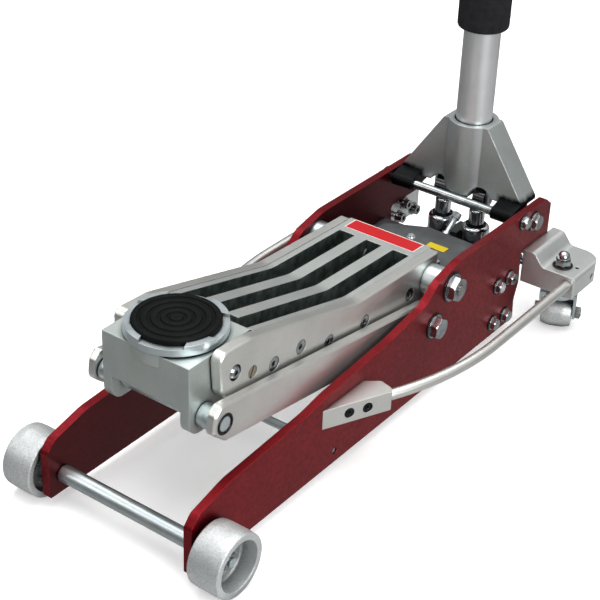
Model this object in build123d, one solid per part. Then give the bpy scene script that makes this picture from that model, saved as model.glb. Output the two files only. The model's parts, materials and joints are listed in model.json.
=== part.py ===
from build123d import *
from math import atan2, cos, degrees, hypot, radians, sin
import os

# Trolley jack with two side plates, a dog-leg lift arm held level by two lower links,
# a turning saddle, two front wheels, two swivel casters and an upright pump handle.
# X is the width, Y runs from the saddle end to the handle end, Z is up. The sketches
# measure Y from the front axle, and export moves everything so that Y = 0 is mid-length.

# Chassis side plates
PLATE_IN = 91.3
PLATE_T = 10.1
PLATE_OUT = PLATE_IN + PLATE_T
PLATE_BOTTOM = 13.3
PLATE_TOP = 160.1
BEAK_Y = 677.4
BEAK_Z = 107.0

# Front wheels and axle
WHEEL_R = 36.0
WHEEL_W = 38.5
WHEEL_GAP = 5.4
WHEEL_IN = PLATE_OUT + WHEEL_GAP
WHEEL_OUT = WHEEL_IN + WHEEL_W
WHEEL_RECESS = 20.0
WHEEL_RECESS_R = 28.2
WHEEL_INNER_RECESS = 8.0
AXLE_STUD_R = 5.0
WHEEL_HUB_R = 16.0
AXLE_R = 9.5
JOURNAL_R = 8.0

# Lift linkage: the arm turns at ARM_PIVOT, its tip is ARM_TIP, and the lower links repeat
# the same line, moved by LINK_OFFSET, so that the saddle bracket stays level.
ARM_PIVOT = (443.5, 133.0)
ARM_TIP = (84.0, 187.0)
LINK_OFFSET = (-32.5, -37.5)
LINK_PIVOT = (ARM_PIVOT[0] + LINK_OFFSET[0], ARM_PIVOT[1] + LINK_OFFSET[1])
LINK_PIN = (ARM_TIP[0] + LINK_OFFSET[0], ARM_TIP[1] + LINK_OFFSET[1])
LINK_LENGTH = hypot(LINK_PIVOT[0] - LINK_PIN[0], LINK_PIVOT[1] - LINK_PIN[1])
LINK_SLOPE = atan2(LINK_PIN[1] - LINK_PIVOT[1], LINK_PIVOT[0] - LINK_PIN[0])

ARM_IN = 57.5
ARM_OUT = 70.0
ARM_BOSS_R = 27.0
ARM_SHAFT_R = 13.0
TIP_BOLT_R = 9.0
TIP_CLEARANCE_R = 49.0
RUNNING = 0.05

SLOT_PITCH = 38.0
SLOT_W = 22.0
SLOT_FRONT = 150.0
SLOT_REAR = 430.0

LINK_IN = 74.0
LINK_OUT = 84.0
LINK_HALF_H = 22.0
LINK_PIN_R = 9.0
LINK_PIN_GAP = 0.35
LINK_BOLT_R = 8.0

# Saddle bracket and saddle
BRACKET_HALF_W = 56.3
BRACKET_CAVITY = 45.0
BRACKET_FRONT = 29.7
BRACKET_REAR = 124.0
BRACKET_TOP = 212.4
BRACKET_SKIRT = 161.3
BRACKET_LEG_BOTTOM = 130.5
SADDLE_Y = 77.3
SADDLE_R = 53.4
SADDLE_BASE = 212.8
SADDLE_RIM = 225.4
SADDLE_PAD_R = 46.0
SADDLE_PAD_TOP = 227.9
SADDLE_NOTCH_W = 46.0
SADDLE_TURN = 23.0

# Rear casters and the brackets that carry them
WING_FRONT = 616.7
WING_REAR = 693.0
WING_OUT = 175.0
WING_BOTTOM = 63.5
WING_FLANGE = 92.0
WING_HUMP = 108.0
CASTER_X = 146.0
CASTER_Y = 639.0
CASTER_TRAIL = 12.0
CASTER_R = 21.0
CASTER_W = 38.0
CASTER_TURN = 22.0
CASTER_BOLT_R = 5.0

# The middle of the length, from the rims of the front wheels to the wing brackets
ORIGIN_Y = (WING_REAR - WHEEL_R) / 2

# Side rods and their clamp blocks
ROD_R = 6.3
ROD_X = 165.0
ROD_Z = 80.5
ROD_CORNER_Y = 360.0
ROD_BEND_R = 380.0
ROD_FRONT = (126.7, 278.0)
CLAMP_BOTTOM = 70.6
CLAMP_TOP = 94.4

# Hydraulic unit
BLOCK_FRONT = 542.0
BLOCK_REAR = 600.0
BLOCK_BOTTOM = 18.0
BLOCK_TOP = 95.0
NOSE_HALF_W = 46.0
NOSE_REAR = 650.0
NOSE_TOP = 80.0
TANK_TOP = 120.0
TANK_FRONT = 482.0
RAM_Z = 91.0
RAM_R = 14.0
RAM_NOSE_R = 8.5
RAM_NOSE = 11.0
RAM_CYLINDER_R = 24.0
RAM_REAR = 548.0
RAM_HOUSING_HALF_W = 45.0
RAM_HOUSING_REAR = 570.0
RAM_HOUSING_TOP = 110.0
PUSH_RADIUS = 45.0
PUSH_LEAN = 13.0
PUSH_ROLLER_R = 11.0
PUSH_GAP = 1.5
PUMP_X = 25.0
ROLLER_X = 28.0
PUMP_Y = 628.0
PUMP_R = 10.0
PUMP_BARREL_R = 17.5
PUMP_BARREL_TOP = 113.0
PUMP_SEAT_H = 3.0
VALVE_TOP = 100.0

# Handle socket, handle and pump rollers
YOKE_SHAFT = (608.0, 150.0)
YOKE_SHAFT_R = 5.8
YOKE_ROLLER = (632.0, 149.0)
YOKE_ROLLER_R = 13.5
HANDLE_Y = 641.0
COLLAR_R = 31.0
COLLAR_TOP = 248.0
SOCKET_R = 24.0
SOCKET_FLOOR = 168.0
TUBE_R = 22.5
TUBE_SPLIT = 760.0
UPPER_TUBE_R = 19.0
HANDLE_TOP = 1245.0
FOAM_BOTTOM = 367.0
FOAM_TOP = 742.0
FOAM_R = 32.0

# Release valve shaft, which leans back towards the foot of the handle
RELEASE_FOOT = (588.0, 94.5)
RELEASE_HEAD = (624.0, 120.6)
RELEASE_R = 4.0


def rounded_face(corners):
    """A flat face from (u, v, radius) corners."""
    points = [(corner[0], corner[1]) for corner in corners]
    radii = [corner[2] for corner in corners]
    return make_face(FilletPolyline(*points, radius=radii, close=True).edges())


def side_slab(corners, x_low, x_high):
    """A slab whose outline is drawn in the Y-Z plane."""
    return extrude(Plane.YZ.offset(x_low) * rounded_face(corners), amount=x_high - x_low)


def plan_slab(corners, z_low, z_high):
    """A slab whose outline is drawn in the X-Y plane."""
    return extrude(Plane.XY.offset(z_low) * rounded_face(corners), amount=z_high - z_low)


def front_slab(corners, y_low, y_high):
    """A slab whose outline is drawn in the X-Z plane."""
    return extrude(Plane.XZ.offset(-y_high) * rounded_face(corners), amount=y_high - y_low)


def block(x_low, x_high, y_low, y_high, z_low, z_high):
    size = Box(x_high - x_low, y_high - y_low, z_high - z_low)
    return Pos((x_low + x_high) / 2, (y_low + y_high) / 2, (z_low + z_high) / 2) * size


def rod_x(radius, x_low, x_high, place):
    """A cylinder along X at a (y, z) place."""
    bar = Rot(0, 90, 0) * Cylinder(radius, x_high - x_low)
    return Pos((x_low + x_high) / 2, place[0], place[1]) * bar


def rod_y(radius, y_low, y_high, x, z):
    return Pos(x, (y_low + y_high) / 2, z) * Rot(90, 0, 0) * Cylinder(radius, y_high - y_low)


def rod_z(radius, z_low, z_high, x, y):
    return Pos(x, y, (z_low + z_high) / 2) * Cylinder(radius, z_high - z_low)


def hex_x(radius, x_low, x_high, place):
    """A hexagonal prism along X at a (y, z) place."""
    prism = extrude(RegularPolygon(radius, 6), amount=x_high - x_low)
    return Pos(x_low, place[0], place[1]) * Rot(0, 90, 0) * prism


def hex_z(radius, z_low, z_high, x, y):
    return Pos(x, y, z_low) * extrude(RegularPolygon(radius, 6), amount=z_high - z_low)


def bevel_outside(slab, size):
    """A bevel along the edges of a slab's outer (+X) face."""
    return chamfer(slab.edges().group_by(Axis.X)[-1], size)


def mirrored(shape):
    """The same piece on the -X side."""
    return mirror(shape, about=Plane.YZ)


def pair(shape):
    """Two separate solids, one on each side."""
    return Compound(children=[shape, mirrored(shape)])


def group(shapes):
    return Compound(children=list(shapes))


# ---- chassis ----

BLOCK_BOLTS = [(558.0, 82.0), (587.0, 81.0), (554.0, 31.0), (584.0, 29.0)]
WING_BOLTS = [(639.5, 99.0), (662.2, 82.4), (628.0, 84.0)]
FRAME_BOLT = (636.0, 140.0)
CROSS_ROD = (219.2, 28.4)
CROSS_ROD_R = 5.0
CROSS_ROD_END_R = 4.0
CROSS_ROD_RECESS = 1.5
BLOCK_BOLT_R = 5.0
WING_BOLT_R = 4.0
FRAME_BOLT_R = 6.0
CLAMP_HOLES = [(116.3, 222.8), (124.9, 243.8)]
CLAMP_SCREW_R = 3.5
CLAMP_TURN = 24.9


def side_plate():
    outline = [
        (-20.8, PLATE_BOTTOM, 3),
        (-20.8, 71.0, 7),
        (-10.5, 82.5, 12),
        (38.0, 95.0, 60),
        (165.8, 103.3, 80),
        (202.7, 109.9, 80),
        (320.2, 119.4, 120),
        (388.0, 131.0, 30),
        (413.0, 150.0, 30),
        (458.0, PLATE_TOP, 60),
        (663.2, PLATE_TOP, 6),
        (BEAK_Y, 149.0, 4),
        (BEAK_Y, BEAK_Z, 2),
        (609.0, BEAK_Z, 6),
        (613.5, 64.0, 14),
        (605.0, 42.0, 18),
        (607.5, PLATE_BOTTOM, 3),
    ]
    plate = side_slab(outline, PLATE_IN, PLATE_OUT)
    reach = (PLATE_IN - 1, PLATE_OUT + 1)
    plate -= rod_x(JOURNAL_R, *reach, (0, WHEEL_R))
    plate -= rod_x(CROSS_ROD_END_R, *reach, CROSS_ROD)
    plate -= rod_x(LINK_BOLT_R, *reach, ARM_PIVOT)
    plate -= rod_x(LINK_BOLT_R, *reach, LINK_PIVOT)
    plate -= rod_x(YOKE_SHAFT_R, *reach, YOKE_SHAFT)
    plate -= rod_x(FRAME_BOLT_R, *reach, FRAME_BOLT)
    for place in BLOCK_BOLTS:
        plate -= rod_x(BLOCK_BOLT_R, *reach, place)
    for place in WING_BOLTS:
        plate -= rod_x(WING_BOLT_R, *reach, place)
    for hole in CLAMP_HOLES:
        plate -= clamp_bore(hole, CLAMP_SCREW_R, -clamp_depth(hole) - 5.0, 5.0)
    return plate


def front_axle():
    """A bar between the plates, with a journal for each wheel and a stud for its nut."""
    hub_face = WHEEL_OUT - WHEEL_RECESS
    axle = rod_x(AXLE_R, -PLATE_IN, PLATE_IN, (0, WHEEL_R))
    axle = chamfer(axle.edges().filter_by(GeomType.CIRCLE), 1.2)
    axle += rod_x(JOURNAL_R, -hub_face - 0.3, hub_face + 0.3, (0, WHEEL_R))
    return axle + rod_x(AXLE_STUD_R, -hub_face - 11.0, hub_face + 11.0, (0, WHEEL_R))


def front_axle_fasteners():
    """A collar inside each wheel and a flanged nut in its recess."""
    place = (0, WHEEL_R)
    collar = rod_x(12.0, PLATE_OUT, WHEEL_IN - 0.3, place) - rod_x(JOURNAL_R, 90, 150, place)
    seat = WHEEL_OUT - WHEEL_RECESS + 0.3
    nut = hex_x(10.2, seat + 1.6, seat + 9.0, place) & crown(10.6, seat + 1.6, seat + 9.0, place)
    nut += rod_x(11.5, seat, seat + 1.6, place)
    nut -= rod_x(AXLE_STUD_R, 90, 150, place)
    return group([collar, nut, mirrored(collar), mirrored(nut)])


def front_wheel():
    """A cast roller with a dished face on both sides and a bored hub."""
    half = WHEEL_W / 2
    web_in = -half + WHEEL_INNER_RECESS
    web_out = half - WHEEL_RECESS
    profile = [
        (JOURNAL_R + RUNNING, -half + 2.0, 0),
        (WHEEL_HUB_R - 3.0, -half + 2.0, 0),
        (WHEEL_HUB_R, web_in, 2),
        (WHEEL_RECESS_R - 2.0, web_in, 3),
        (WHEEL_RECESS_R, -half, 0.8),
        (WHEEL_R - 0.6, -half, 1.6),
        (WHEEL_R, -half + 9.0, 14),
        (WHEEL_R, half - 9.0, 14),
        (WHEEL_R - 0.6, half, 1.6),
        (WHEEL_RECESS_R, half, 0.8),
        (WHEEL_RECESS_R - 1.5, web_out, 3),
        (JOURNAL_R + RUNNING, web_out, 0),
    ]
    wheel = revolve(Plane.XZ * rounded_face(profile), Axis.Z)
    middle = (WHEEL_IN + WHEEL_OUT) / 2
    return Pos(middle, 0, WHEEL_R) * Rot(0, 90, 0) * wheel


def cross_rod():
    rod = rod_x(CROSS_ROD_R, -PLATE_IN, PLATE_IN, CROSS_ROD)
    end = PLATE_OUT - CROSS_ROD_RECESS
    return rod + rod_x(CROSS_ROD_END_R, -end, end, CROSS_ROD)


def wing_bracket():
    """The casting outside a side plate that carries a caster and holds the side rod."""
    outline = [
        (PLATE_OUT, WING_BOTTOM, 0),
        (WING_OUT, WING_BOTTOM, 3),
        (WING_OUT, WING_FLANGE, 4),
        (129.0, WING_FLANGE, 10),
        (117.0, WING_HUMP, 9),
        (PLATE_OUT, WING_HUMP, 0),
    ]
    wing = front_slab(outline, WING_FRONT, WING_REAR)
    plan = [
        (PLATE_OUT, WING_FRONT, 0),
        (WING_OUT, WING_FRONT, 2),
        (WING_OUT, WING_REAR, 26),
        (PLATE_OUT, WING_REAR, 0),
    ]
    wing &= plan_slab(plan, WING_BOTTOM - 1, WING_HUMP + 1)
    wing -= rod_z(CASTER_BOLT_R + 1, WING_BOTTOM - 1, WING_HUMP + 1, CASTER_X, CASTER_Y)
    wing -= rod_z(2.5, WING_FLANGE - 12, WING_FLANGE + 1, CASTER_X + 17, CASTER_Y + 6)
    wing -= rod_x(4.0, WING_OUT - 14, WING_OUT + 1, (CASTER_Y + 26, WING_BOTTOM + 12))
    wing -= rod_y(ROD_R, WING_FRONT - 1, WING_FRONT + 16, ROD_X, ROD_Z)
    for place in WING_BOLTS:
        wing -= rod_x(WING_BOLT_R, PLATE_OUT - 1, PLATE_OUT + 14, place)
    return wing


def wing_bolt(place):
    """A cap screw from inside the plate, with a washer under its head."""
    screw = rod_x(WING_BOLT_R, PLATE_IN - 2, PLATE_OUT + 14, place)
    screw += rod_x(9.0, PLATE_IN - 2.0, PLATE_IN, place)
    head = rod_x(6.5, PLATE_IN - 9.0, PLATE_IN - 2.0, place)
    head -= hex_x(3.6, PLATE_IN - 10, PLATE_IN - 5.0, place)
    return screw + head


def side_rod():
    """A round bar from the clamp block on the plate to the wing bracket."""
    start = (ROD_X, WING_FRONT + 16, ROD_Z)
    corner = (ROD_X, ROD_CORNER_Y, ROD_Z)
    end = clamp_rod_end()
    path = FilletPolyline(start, corner, end, radius=[ROD_BEND_R])
    section = Plane(origin=start, z_dir=(0, -1, 0)) * Circle(ROD_R)
    return sweep(section, path=path)


def clamp_rod_end():
    """Where the bar ends, 12 mm inside the clamp block."""
    run = Vector(ROD_FRONT[0] - ROD_X, ROD_FRONT[1] - ROD_CORNER_Y, 0).normalized()
    return (ROD_FRONT[0] + 12 * run.X, ROD_FRONT[1] + 12 * run.Y, ROD_Z)


def clamp_bore(hole, radius, start, end):
    """A cylinder square to the sloping outer face of the clamp block."""
    bar = Rot(0, 90, 0) * Cylinder(radius, end - start)
    place = Pos(hole[0], hole[1], (CLAMP_BOTTOM + CLAMP_TOP) / 2) * Rot(0, 0, -CLAMP_TURN)
    return place * Pos((start + end) / 2, 0, 0) * bar


def clamp_depth(hole):
    """How far it is from the mouth of a clamp hole to the inner face of the plate."""
    return (hole[0] - PLATE_IN) / cos(radians(CLAMP_TURN))


def rod_clamp():
    """A wedge block whose outer face slopes out from the plate to the bar."""
    outline = [
        (PLATE_OUT, 193.4, 0),
        (137.4, 270.8, 2),
        (132.5, 276.5, 2),
        (117.0, 280.5, 4),
        (PLATE_OUT, 268.0, 0),
    ]
    wedge = plan_slab(outline, CLAMP_BOTTOM, CLAMP_TOP)
    end = clamp_rod_end()
    bar = Wire(Edge.make_line(end, (ROD_X, ROD_CORNER_Y, ROD_Z)))
    run = Vector(ROD_X - end[0], ROD_CORNER_Y - end[1], 0)
    wedge -= sweep(Plane(origin=end, z_dir=run) * Circle(ROD_R), path=bar)
    for hole in CLAMP_HOLES:
        wedge -= clamp_bore(hole, 6.2, -7.0, 10.0)
        wedge -= clamp_bore(hole, CLAMP_SCREW_R, -40.0, 10.0)
    return wedge


def clamp_screw(hole):
    screw = clamp_bore(hole, 5.4, -7.0, -1.5)
    screw -= clamp_bore(hole, 2.6, -4.0, 0.0)
    return screw + clamp_bore(hole, CLAMP_SCREW_R - RUNNING, -clamp_depth(hole) + 3.0, -7.0)


def arm_pivot_shaft():
    shaft = rod_x(ARM_SHAFT_R, -PLATE_IN, PLATE_IN, ARM_PIVOT)
    for low, high in ((-PLATE_IN - 1, -PLATE_IN + 22), (PLATE_IN - 22, PLATE_IN + 1)):
        shaft -= rod_x(LINK_BOLT_R, low, high, ARM_PIVOT)
    return shaft


def arm_pivot_bolt():
    """A flanged hexagon bolt from outside the plate into the shaft."""
    bolt = rod_x(LINK_BOLT_R, PLATE_IN - 22, PLATE_OUT, ARM_PIVOT)
    bolt += rod_x(17.0, PLATE_OUT, PLATE_OUT + 2.5, ARM_PIVOT)
    head = hex_x(15.5, PLATE_OUT + 2.5, PLATE_OUT + 12.0, ARM_PIVOT)
    head &= crown(16.0, PLATE_OUT + 2.5, PLATE_OUT + 12.0, ARM_PIVOT)
    return bolt + head + rod_x(6.5, PLATE_OUT + 12.0, PLATE_OUT + 13.5, ARM_PIVOT)


def crown(radius, x_low, x_high, place):
    """A round bar with a chamfered outer end, which rounds the corners of a hexagon."""
    bar = rod_x(radius, x_low, x_high, place)
    return chamfer(bar.edges().group_by(Axis.X)[-1], 2.0)


def arm_spacer():
    ring = rod_x(19.0, ARM_OUT + 0.3, PLATE_IN, ARM_PIVOT)
    return ring - rod_x(ARM_SHAFT_R, ARM_OUT - 1, PLATE_IN + 1, ARM_PIVOT)


def link_pivot_bolt():
    """A shoulder bolt through the plate that carries the rear end of a lower link."""
    bolt = rod_x(LINK_BOLT_R, LINK_IN - 3.0, PLATE_OUT, LINK_PIVOT)
    bolt += rod_x(14.0, LINK_IN - 3.0, LINK_IN - 0.3, LINK_PIVOT)
    bolt += rod_x(12.0, LINK_OUT + 0.3, PLATE_IN, LINK_PIVOT)
    bolt += rod_x(14.5, PLATE_OUT, PLATE_OUT + 2.0, LINK_PIVOT)
    head = hex_x(13.5, PLATE_OUT + 2.0, PLATE_OUT + 11.0, LINK_PIVOT)
    head &= crown(14.0, PLATE_OUT + 2.0, PLATE_OUT + 11.0, LINK_PIVOT)
    return bolt + head


def plate_bolt(place, shank, head, length):
    """A hexagon bolt with its head outside a side plate."""
    bolt = rod_x(shank, PLATE_OUT - length, PLATE_OUT, place)
    bolt += rod_x(head + 1.0, PLATE_OUT, PLATE_OUT + 1.5, place)
    cap = hex_x(head, PLATE_OUT + 1.5, PLATE_OUT + 8.0, place)
    return bolt + (cap & crown(head + 0.4, PLATE_OUT + 1.5, PLATE_OUT + 8.0, place))


def pump_block():
    """The hydraulic casting between the plates, with the pump nose behind it."""
    body = block(-PLATE_IN, PLATE_IN, BLOCK_FRONT, BLOCK_REAR, BLOCK_BOTTOM, BLOCK_TOP)
    body = chamfer(body.edges().filter_by(Axis.X), 4.0)
    nose = block(-NOSE_HALF_W, NOSE_HALF_W, BLOCK_REAR - 4, NOSE_REAR, 22.0, NOSE_TOP)
    nose = fillet(nose.edges().filter_by(Axis.Z).group_by(Axis.Y)[-1], 12.0)
    body += nose
    body += block(-6.5, 6.5, 612.0, 644.0, NOSE_TOP - 1, VALVE_TOP)
    for side in (-1, 1):
        body += rod_z(PUMP_BARREL_R + 1.5, NOSE_TOP, NOSE_TOP + PUMP_SEAT_H, side * PUMP_X, PUMP_Y)
        body -= rod_z(PUMP_R + RUNNING, 26.0, NOSE_TOP + 5.0, side * PUMP_X, PUMP_Y)
        for place in BLOCK_BOLTS:
            inner = side * (PLATE_OUT - 26.0)
            low, high = sorted((inner, side * (PLATE_IN + 1)))
            body -= rod_x(BLOCK_BOLT_R, low, high, place)
    body += ram_housing()
    body -= rod_y(RAM_R + RUNNING, BLOCK_FRONT - 1, RAM_HOUSING_REAR - 4, 0, RAM_Z)
    body -= release_bar(RELEASE_R + RUNNING, -30.0, 60.0)
    return body


def pump_barrel():
    """A chromed, shouldered sleeve that guides a plunger above the casing."""
    foot = NOSE_TOP + PUMP_SEAT_H
    barrel = rod_z(PUMP_BARREL_R, foot, PUMP_BARREL_TOP, PUMP_X, PUMP_Y)
    barrel = fillet(barrel.edges().group_by(Axis.Z)[-1], 5.0)
    waist = rod_z(PUMP_BARREL_R + 1, foot + 4.0, foot + 7.0, PUMP_X, PUMP_Y)
    barrel -= waist - rod_z(PUMP_BARREL_R - 1.5, foot, foot + 10.0, PUMP_X, PUMP_Y)
    return barrel - rod_z(PUMP_R + RUNNING, foot - 1, PUMP_BARREL_TOP + 1, PUMP_X, PUMP_Y)


def ram_housing():
    """The raised middle of the block, which closes the rear of the ram cylinder."""
    half = RAM_HOUSING_HALF_W
    return block(-half, half, BLOCK_FRONT, RAM_HOUSING_REAR, BLOCK_TOP - 8, RAM_HOUSING_TOP)


def tank():
    """The oil tank in front of the block, whose cover reaches back over it."""
    outline = [
        (-60.0, TANK_FRONT, 6),
        (60.0, TANK_FRONT, 6),
        (60.0, 570.0, 6),
        (-10.0, 572.0, 6),
        (-60.0, 545.0, 10),
    ]
    body = plan_slab(outline, 40.0, TANK_TOP)
    body -= block(-100, 100, BLOCK_FRONT, 600, 0, BLOCK_TOP)
    body = chamfer(body.edges().group_by(Axis.Z)[-1], 1.5)
    body -= ram_housing()
    return body - rod_y(RAM_CYLINDER_R, TANK_FRONT - 1, BLOCK_FRONT, 0, RAM_Z)


def ram_cylinder():
    tube = rod_y(RAM_CYLINDER_R, TANK_FRONT + 4, BLOCK_FRONT, 0, RAM_Z)
    return tube - rod_y(RAM_R + RUNNING, TANK_FRONT - 1, BLOCK_FRONT + 1, 0, RAM_Z)


def ram_rod():
    """The ram, whose flat front face pushes the roller on the arm."""
    front = push_roller_place()[0] + PUSH_ROLLER_R + PUSH_GAP
    ram = rod_y(RAM_R, front + RAM_NOSE, RAM_REAR, 0, RAM_Z)
    ram = chamfer(ram.edges().filter_by(GeomType.CIRCLE), 1.0)
    return ram + rod_y(RAM_NOSE_R, front, front + RAM_NOSE, 0, RAM_Z)


def push_roller_place():
    lean = radians(PUSH_LEAN)
    y = ARM_PIVOT[0] + PUSH_RADIUS * sin(lean)
    return (y, ARM_PIVOT[1] - PUSH_RADIUS * cos(lean))


def block_plugs():
    """The filler plug in the tank cover and the hexagon fittings on the block."""
    filler = rod_z(5.5, TANK_TOP, TANK_TOP + 1.0, -12.5, 534.0)
    filler += rod_z(3.8, TANK_TOP + 1.0, TANK_TOP + 3.5, -12.5, 534.0)
    fittings = []
    for x, y, radius in ((24.0, 588.0, 7.0), (-22.0, 588.0, 6.0), (46.0, 590.0, 6.0)):
        fitting = hex_z(radius, BLOCK_TOP, BLOCK_TOP + 7.0, x, y)
        fittings.append(fitting + rod_z(radius * 0.6, BLOCK_TOP + 7.0, BLOCK_TOP + 10.0, x, y))
    return group([filler] + fittings)


def release_bar(radius, start, end):
    """A cylinder on the release shaft's axis, measured from its foot."""
    foot = Vector(0, RELEASE_FOOT[0], RELEASE_FOOT[1])
    head = Vector(0, RELEASE_HEAD[0], RELEASE_HEAD[1])
    axis = Plane(origin=foot, x_dir=(1, 0, 0), z_dir=head - foot)
    return axis.offset((start + end) / 2) * Cylinder(radius, end - start)


def release_shaft():
    length = hypot(RELEASE_HEAD[0] - RELEASE_FOOT[0], RELEASE_HEAD[1] - RELEASE_FOOT[1])
    shaft = release_bar(RELEASE_R, -16.0, length)
    shaft += release_bar(RELEASE_R + 2.0, 10.0, 14.0)
    return shaft + release_bar(RELEASE_R + 1.6, length - 8.0, length)


def yoke_shaft():
    return rod_x(YOKE_SHAFT_R, -PLATE_OUT - 6, PLATE_OUT + 6, YOKE_SHAFT)


def yoke_shaft_nut():
    nut = rod_x(9.0, PLATE_OUT, PLATE_OUT + 1.5, YOKE_SHAFT)
    cap = hex_x(8.0, PLATE_OUT + 1.5, PLATE_OUT + 7.5, YOKE_SHAFT)
    nut += cap & crown(8.4, PLATE_OUT + 1.5, PLATE_OUT + 7.5, YOKE_SHAFT)
    return nut - rod_x(YOKE_SHAFT_R, PLATE_OUT - 1, PLATE_OUT + 6, YOKE_SHAFT)


def caster_kingpin():
    """The bolt through the wing bracket that the caster turns on, with its thrust washer."""
    pin = rod_z(CASTER_BOLT_R + 1, 49.0, WING_FLANGE + 10, CASTER_X, CASTER_Y)
    return pin + rod_z(14.0, 57.3, WING_BOTTOM, CASTER_X, CASTER_Y)


def caster_nut():
    """A domed nut on top of the wing bracket."""
    nut = rod_z(10.5, WING_FLANGE, WING_FLANGE + 1.5, CASTER_X, CASTER_Y)
    nut += hex_z(10.5, WING_FLANGE + 1.5, WING_FLANGE + 9.0, CASTER_X, CASTER_Y)
    dome = Pos(CASTER_X, CASTER_Y, WING_FLANGE + 12.0) * Sphere(8.0)
    dome &= rod_z(8.0, WING_FLANGE + 9.0, WING_FLANGE + 22.0, CASTER_X, CASTER_Y)
    nut += dome
    return nut - rod_z(CASTER_BOLT_R + 1, WING_FLANGE - 1, WING_FLANGE + 10, CASTER_X, CASTER_Y)


# ---- casters ----

FORK_GAP = 1.0
FORK_T = 3.0
FORK_TOP = 57.0
FORK_PLATE_T = 5.0
CASTER_WHEEL = (CASTER_Y + CASTER_TRAIL, CASTER_R)


def turned(shape):
    """A caster piece, turned about the vertical axis of its pin."""
    return shape.rotate(Axis((CASTER_X, CASTER_Y, 0), (0, 0, 1)), CASTER_TURN)


def caster_fork():
    """A bent plate: a round top with one cheek on each side of the wheel."""
    inner = CASTER_W / 2 + FORK_GAP
    outer = inner + FORK_T
    top = rod_z(19.0, FORK_TOP - FORK_PLATE_T, FORK_TOP, CASTER_X, CASTER_Y)
    top += block(CASTER_X - outer, CASTER_X + outer, CASTER_Y - 12, CASTER_Y + 14,
                 FORK_TOP - FORK_PLATE_T, FORK_TOP)
    cheek = [
        (CASTER_Y - 12, FORK_TOP, 0),
        (CASTER_Y + 14, FORK_TOP, 0),
        (CASTER_WHEEL[0] + 9.5, CASTER_WHEEL[1] + 2, 6),
        (CASTER_WHEEL[0] + 5.0, CASTER_WHEEL[1] - 9, 6),
        (CASTER_WHEEL[0] - 6.0, CASTER_WHEEL[1] - 9, 6),
    ]
    top += side_slab(cheek, CASTER_X + inner, CASTER_X + outer)
    top += side_slab(cheek, CASTER_X - outer, CASTER_X - inner)
    top -= rod_z(CASTER_BOLT_R + 1 + RUNNING, FORK_TOP - 10, FORK_TOP + 1, CASTER_X, CASTER_Y)
    return turned(top - rod_x(CASTER_BOLT_R, CASTER_X - 30, CASTER_X + 30, CASTER_WHEEL))


def caster_axle():
    outer = CASTER_W / 2 + FORK_GAP + FORK_T
    bolt = rod_x(CASTER_BOLT_R, CASTER_X - outer, CASTER_X + outer + 7.5, CASTER_WHEEL)
    bolt += hex_x(8.6, CASTER_X - outer - 5.5, CASTER_X - outer, CASTER_WHEEL)
    return turned(bolt + hex_x(8.6, CASTER_X + outer, CASTER_X + outer + 6.5, CASTER_WHEEL))


def caster_wheel():
    """A barrel-shaped roller."""
    half = CASTER_W / 2
    profile = [
        (CASTER_BOLT_R + RUNNING, -half, 0),
        (CASTER_R - 3.0, -half, 2),
        (CASTER_R, -9.0, 24),
        (CASTER_R, 9.0, 24),
        (CASTER_R - 3.0, half, 2),
        (CASTER_BOLT_R + RUNNING, half, 0),
    ]
    roller = revolve(Plane.XZ * rounded_face(profile), Axis.Z)
    return turned(Pos(CASTER_X, *CASTER_WHEEL) * Rot(0, 90, 0) * roller)


# ---- lift arm ----

ARM_TOP = [(60.0, 217.0), (110.0, 214.6), (299.0, 167.2), (467.0, 160.4)]
ARM_UNDER = [(443.0, 109.0), (300.0, 112.0), (130.0, 150.0), (64.0, 166.0)]
ARM_SCREWS = [(147.0, 165.2), (193.0, 162.7), (244.3, 144.1), (312.2, 136.6), (403.5, 129.0)]
ARM_DOWEL = (111.7, 173.8)
PLATE_SCREW_R = 8.6
DOWEL_R = 7.2
LUG_IN = 9.0
LUG_OUT = 17.0


def arm_plate():
    """One flat side of the arm, with a rounded boss at the pivot."""
    outline = [
        (ARM_TOP[0][0], ARM_TOP[0][1], 10),
        (ARM_TOP[1][0], ARM_TOP[1][1], 40),
        (ARM_TOP[2][0], ARM_TOP[2][1], 60),
        (ARM_TOP[3][0], ARM_TOP[3][1], 8),
        (466.0, 133.0, 0),
        (ARM_UNDER[0][0], ARM_UNDER[0][1], 0),
        (ARM_UNDER[1][0], ARM_UNDER[1][1], 60),
        (ARM_UNDER[2][0], ARM_UNDER[2][1], 20),
        (ARM_UNDER[3][0], ARM_UNDER[3][1], 12),
    ]
    plate = bevel_outside(side_slab(outline, ARM_IN, ARM_OUT), 1.6)
    plate += bevel_outside(rod_x(ARM_BOSS_R, ARM_IN, ARM_OUT, ARM_PIVOT), 1.6)
    plate -= arm_plate_corner()
    plate -= rod_x(ARM_SHAFT_R + RUNNING, ARM_IN - 1, ARM_OUT + 1, ARM_PIVOT)
    plate -= rod_x(TIP_BOLT_R, ARM_IN - 1, ARM_OUT + 1, ARM_TIP)
    for place in ARM_SCREWS:
        plate -= rod_x(PLATE_SCREW_R, ARM_OUT - 6, ARM_OUT + 1, place)
        plate -= rod_x(3.0, ARM_IN - 1, ARM_OUT, place)
    return plate - rod_x(DOWEL_R, ARM_IN - 1, ARM_OUT + 1, ARM_DOWEL)


def arm_plate_corner():
    """What the rounded upper rear corner takes away from a side of the arm."""
    radius = 10.0
    rear = ARM_TOP[-1][0]
    corner = block(ARM_OUT - radius, ARM_OUT + 1, rear - radius, rear + 5, 146.0, 170.0)
    return corner - rod_z(radius, 140.0, 175.0, ARM_OUT - radius, rear - radius)


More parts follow.
